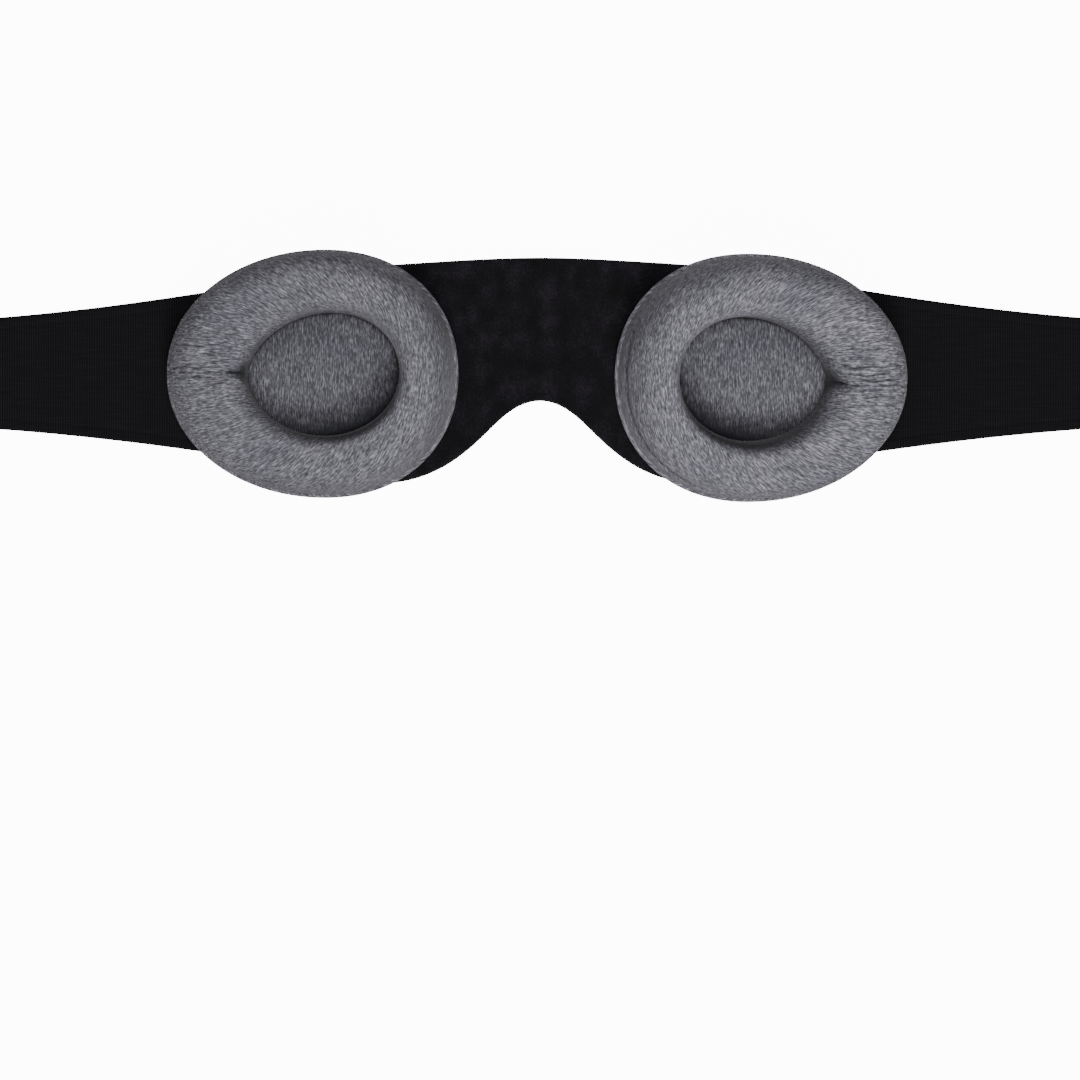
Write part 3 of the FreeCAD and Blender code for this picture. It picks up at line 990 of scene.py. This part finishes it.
def smooth_step(low, high, value):
    """0 at low, 1 at high, level beyond both and smooth between them."""
    t = np.clip((value - low) / (high - low), 0, 1)
    return t * t * (3 - 2 * t)


def groove(distance, width):
    """1 in the middle of a groove, falling to 0 over about its width."""
    return np.exp(-((distance / width) ** 2))


def moat_side(turn):
    """How wide the valley round the pillow is, from 0 to 1: most at the chin and nose."""
    return np.clip(-np.sin(turn) - NOSE_PULL * np.cos(turn), 0, 1.1) ** 1.2


def moat_shade(turn, climb):
    """How much the fibres deep in the hollow shade each other, from 0 to 1."""
    start = 0.74 - 0.14 * moat_side(turn)
    return (0.6 + 0.4 * moat_side(turn)) * smooth_step(start, start + 0.2, climb / math.pi)


def creases(side, grid, climb):
    """Depth of the grooves at each point, in mm: as the mesh has them, and as painted shade that
    darkens them.
    """
    x, y = grid[..., 0], grid[..., 1]
    temple = smooth_step(*SEAM_START, x)
    from_seam = y - SEAM_Y[side] * smooth_step(*SEAM_SLANT, x)
    broken = 0.6 + 0.4 * np.sin(x * 1.3 + 1) * np.sin(x * 0.47)
    depth = SEAM_DEPTH * groove(from_seam, SEAM_WIDTH) * temple * broken
    valley = groove(from_seam, VALLEY_WIDTH)
    valley = valley * smooth_step(*VALLEY_END, x) * smooth_step(*VALLEY_START, x)
    shade = groove(from_seam, VALLEY_SHADE_WIDTH)
    shade = shade * smooth_step(*VALLEY_SHADE_END, x) * smooth_step(*VALLEY_SHADE_START, x)
    pleats = np.zeros_like(depth)
    for offset, size in PLEATS:
        start, length = random.uniform(*PLEAT_START), random.uniform(*PLEAT_LENGTH)
        end = start + length
        run = smooth_step(start, start + 1.5, x) * smooth_step(end, end - 2, x)
        waver = 0.25 * np.sin(x * 0.7 + offset)
        pleats = pleats + size * run * groove(from_seam - offset - waver, PLEAT_WIDTH)
    depth = depth + pleats
    if side == "right":
        angle = np.degrees(np.arctan2(-y, -x))
        arc = smooth_step(*ARC_START, angle) * smooth_step(*ARC_END, angle)
        depth = depth + ARC_DEPTH * arc * groove(climb[None, :] - ARC_CLIMB, ARC_WIDTH)
    # The hollow's wall keeps its shape near the floor, so that no gap opens there.
    kept = smooth_step(0.92, 0.78, climb / math.pi)
    # Painted shade: the grooves' depth, more in the pleats, and a wide band at the tip of the
    # hollow.
    darkness = depth + PLEAT_SHADE * pleats + VALLEY_SHADE * shade
    return (depth + VALLEY_DEPTH * valley) * kept, darkness


# %% [markdown]
# ## Cloth coordinates of the cup cover
# The cover starts as a strip of knit that is bent round the cup and closed by the temple
# seam. So its threads turn at half the rate of the cup's outline: they run across at the
# temple, slant over the top and the bottom, and stand upright at the nose. Half the polar
# angle, used as the angle of the cloth coordinates, gives just that.

# %% Cover coordinates
CROWN_RADIUS = 60.0


def cover_cloth(grid):
    """Cloth coordinates for a grid (around, across) with one more row for the seam."""
    closed = np.concatenate([grid, grid[:1]], axis=0)
    steps = np.linalg.norm(np.diff(closed, axis=1), axis=2)
    run = np.concatenate([np.zeros((len(closed), 1)), np.cumsum(steps, axis=1)], axis=1)
    crown = run[:, run.shape[1] * 2 // 5][:, None]
    radius = CROWN_RADIUS + crown - run
    angle = np.unwrap(np.arctan2(closed[..., 1], -closed[..., 0] + HOLLOW_X), axis=0)
    half = angle / 2
    return np.stack([radius * np.cos(half), radius * np.sin(half)], axis=2)


# %% [markdown]
# ## Cover and foam
# The cover is a ring whose section runs out over the foam and back inside it. The foam
# ring follows the same grid, a little deeper and with fewer points.

# %% Cover and foam
AROUND, OVER = 420, 64
COARSE_AROUND, COARSE_OVER = 96, 40
GATHER = 0.72
SKIN_CAP = 1.1
CUP_X = 64.5
FOAM_CLEAR = 0.15
# The crease depth in mm that gives full painted shade, and the most painted shade anywhere.
FULL_SHADE_DEPTH, DARKEST_PAINTED_SHADE = 0.9, 0.95
# Painted shade over each cup's whole knit, more on the left cup, on the side away from the main
# light, and more again on both pillows, deep in the hollows.
CUP_PAINTED_SHADE = {"right": 0.05, "left": 0.2}
PILLOW_PAINTED_SHADE = 0.36
# The cups are stuck on by hand, so each sits a little off its place.
STUCK_OFF = {"right": (-1.0, -0.7, 0), "left": (-1.0, 0.5, 0)}


def placed(side, grid):
    """A grid from the cup's own frame, moved to its side of the mask."""
    sign = SIDES[side]
    return grid * (sign, 1, 1) + (sign * CUP_X, 0, 0) + STUCK_OFF[side]


def cup_skin(side):
    """The fine grid of the skin, its normals, its crease depths and its painted shade."""
    even = np.arange(COARSE_AROUND) * 2 * math.pi / COARSE_AROUND
    climb = np.linspace(0, math.pi, COARSE_OVER)
    coarse = cup_point(side, even[:, None], climb[None, :])
    fine = np.arange(AROUND) * 2 * math.pi / AROUND
    turn = fine - GATHER * np.sin(fine)
    fine_climb = np.linspace(0, math.pi, OVER)
    grid = cup_point(side, turn[:, None], fine_climb[None, :])
    moves = cloth_moves(coarse, SKIN_CAP)
    moves = between(moves, turn / (2 * math.pi) * COARSE_AROUND, True)
    across = np.linspace(0, COARSE_OVER - 1, OVER)
    grid = grid + between(moves.transpose(1, 0, 2), across, False).transpose(1, 0, 2)
    depth, darkness = creases(side, grid, fine_climb)
    # Painted shade at the foot of the hollow and in the grooves.
    shade = moat_shade(turn[:, None], fine_climb[None, :]) + darkness / FULL_SHADE_DEPTH
    return grid, normals_of(grid), depth, shade


def paint_shade(piece, amounts):
    """Stores the painted shade at each point, from 0 to 1, which darkens the knit's colour."""
    values = piece.data.attributes.new("painted_shade", "FLOAT", "POINT")
    values.data.foreach_set("value", np.asarray(amounts, np.float32).ravel())


for side in SIDES:
    grid, normal, depth, shade = cup_skin(side)
    skin_out = grid - normal * depth[..., None]
    inner_rows = slice(None, None, -3)
    skin_in = (grid - normal * (SKIN_T + depth[..., None]))[:, inner_rows]
    skin_in[..., 2] = np.maximum(skin_in[..., 2], FOOT_Z)
    section_ring = np.concatenate([skin_out, skin_in], axis=1)
    cloth = cover_cloth(grid)
    plane = np.concatenate([cloth, cloth[:, inner_rows], cloth[:, :1]], axis=1)
    name = f"{side}_cup_knit_cover"
    cover = skin(name, placed(side, section_ring), heather, plane, ring=True, sharp=75)
    # Painted shade on the outer skin: in folds, at the foot of the hollow, and at least the cup's
    # overall amount. The inner skin has none.
    painted_shade_value = np.zeros(section_ring.shape[:2])
    painted_shade_value[:, :OVER] = np.clip(shade, CUP_PAINTED_SHADE[side], DARKEST_PAINTED_SHADE)
    paint_shade(cover, painted_shade_value)
    settle(cover, f"{side}_cup", "heather_knit", f"{side}_cup_cover")

    foam_rows = (grid - normal * (SKIN_T + FOAM_CLEAR + depth[..., None]))[::4, ::3]
    foam_rows[..., 2] = np.maximum(foam_rows[..., 2], FOOT_Z + 0.02)
    foam_rows = placed(side, foam_rows.transpose(1, 0, 2))
    foam_piece = skin(f"{side}_cup_foam_ring", foam_rows, foam, sharp=60)
    settle(foam_piece, f"{side}_cup", "foam", f"{side}_cup_foam")
    print(side, "cup:", len(cover.data.vertices), "points on the cover")

# %% [markdown]
# ## Welt
# Round the foot of each cup the cover is turned in over the edge of the board, and that
# makes a thin rounded lip just outside the cover. It is a ring whose section is rounded on
# the outside. The threads follow the same half-turning layout as the cover's.

# %% Welt
WELT_Z, WELT_WIDTH = (4.85, 6.75), 3.2
WELT_POINTS = 240


def welt_sections(side):
    """Sections of the welt, all round the cup."""
    turn = np.arange(WELT_POINTS) * 2 * math.pi / WELT_POINTS
    turn = turn - 0.3 * np.sin(turn)
    foot = cup_point(side, turn[:, None], np.zeros((1, 1)))[:, 0, :2]
    foot += WELT_PROUD * np.stack([np.cos(turn), np.sin(turn)], axis=1)
    tangent = np.roll(foot, -1, axis=0) - np.roll(foot, 1, axis=0)
    normal = np.stack([tangent[:, 1], -tangent[:, 0]], axis=1)
    normal /= np.linalg.norm(normal, axis=1, keepdims=True)
    low, high = WELT_Z
    radius, middle = (high - low) / 2, (high + low) / 2
    bend = np.linspace(math.pi / 2, -math.pi / 2, 11)
    profile = [(-radius + radius * math.cos(b), middle + radius * math.sin(b)) for b in bend]
    profile += [(-WELT_WIDTH, low), (-WELT_WIDTH, high)]
    profile += [(-2.4, high), (-1.8, high), (-1.3, high - 0.05)]
    rings = [np.insert(foot + normal * out, 2, z, axis=1) for out, z in profile]
    return np.stack(rings, axis=1)


for side in SIDES:
    sections = welt_sections(side)
    plane = cover_cloth(closed_loops(sections))
    welt = skin(f"{side}_cup_welt", placed(side, sections), heather, plane, ring=True, sharp=60)
    # The welt gets its cup's overall painted shade.
    paint_shade(welt, np.full(sections.shape[:2], CUP_PAINTED_SHADE[side]))
    settle(welt, f"{side}_cup", "heather_knit", f"{side}_cup_edge_welt")
    print(side, "welt:", len(welt.data.vertices), "points")

# %% [markdown]
# ## Pillow in the hollow
# A small domed pad lies on the floor of each hollow, in the same knit but cut straight, so
# its threads run up and down. It meets the hollow's wall in a deep valley, darkened by
# painted shade along the pillow's edge. The valley and its painted shade are widest on the
# chin and nose sides, where the dome starts to rise slowly. The whole pillow carries a
# painted shade, and so do its sides and underside. The pillow is also pressed out by the
# cloth simulation.

# %% Pillow
PILLOW_PRESS = 0.1  # how far its edge is pressed into the wall
PILLOW_FOOT_Z, PILLOW_EDGE_Z, PILLOW_RISE = HOLLOW_Z + 0.05, 8.7, 3.7
PILLOW_SLOWNESS = (1.1, 1.3)
PILLOW_CAP = 0.5
EDGE_SHADE, EDGE_SHADE_WIDTH = (0.62, 0.38), (2.4, 4.4)
PILLOW_AROUND, PILLOW_ROWS = 144, 24


def pillow_grid(side):
    """The top of the pillow, from its edge to its middle, for points all round it."""
    turn = np.arange(PILLOW_AROUND) * 2 * math.pi / PILLOW_AROUND
    rim = cup_point(side, turn[:, None], np.full((1, 1), math.pi))[:, 0, :2]
    centre = np.array([HOLLOW_X, 0])
    reach = np.linalg.norm(rim - centre, axis=1, keepdims=True)
    rim = centre + (rim - centre) * (1 + PILLOW_PRESS / reach)
    moat = moat_side(turn)[:, None]
    slowness = PILLOW_SLOWNESS[0] + PILLOW_SLOWNESS[1] * moat
    rise = np.linspace(0, math.pi / 2, PILLOW_ROWS + 1)[:-1]
    rings = []
    for angle in rise:
        flat = centre + (rim - centre) * math.cos(angle)
        z = PILLOW_EDGE_Z + PILLOW_RISE * math.sin(angle) ** slowness
        rings.append(np.concatenate([flat, z], axis=1))
    return np.stack(rings, axis=1), moat


for side in SIDES:
    top, moat = pillow_grid(side)
    inwards = np.linalg.norm(top[:, :1] - top, axis=2)
    # Painted shade along the pillow's edge, fading inwards, widest and darkest at the chin and
    # nose.
    reach = EDGE_SHADE_WIDTH[0] + EDGE_SHADE_WIDTH[1] * moat
    pillow_shade = (EDGE_SHADE[0] + EDGE_SHADE[1] * moat) * np.exp(-((inwards / reach) ** 1.6))
    top = top + cloth_moves(top, PILLOW_CAP, rims=(0,))
    rim = top[:, 0]
    base = [rim * (1, 1, 0) + (0, 0, z) for z in (PILLOW_EDGE_Z - 0.4, PILLOW_FOOT_Z)]
    inner = (rim - (HOLLOW_X, 0, 0)) * (0.4, 0.4, 0) + (HOLLOW_X, 0, PILLOW_FOOT_Z)
    rings = np.stack([inner, base[1], base[0], *top.transpose(1, 0, 2)])
    plane = closed_loops(rings)[..., :2]
    pillow = skin(f"{side}_cup_eye_pillow", placed(side, rings), heather, plane, sharp=75)
    # Painted shade over the whole pillow, deep in the hollow, at least this much everywhere.
    pillow_shade = np.maximum(pillow_shade, PILLOW_PAINTED_SHADE + CUP_PAINTED_SHADE[side] * 0.5)
    # The pillow's underside and sides get a painted shade of 0.8.
    paint_shade(pillow, np.concatenate([np.full((3, PILLOW_AROUND), 0.8), pillow_shade.T]))
    settle(pillow, f"{side}_cup", "heather_knit", f"{side}_cup_eye_liner")
    print(side, "pillow:", len(pillow.data.vertices), "points")
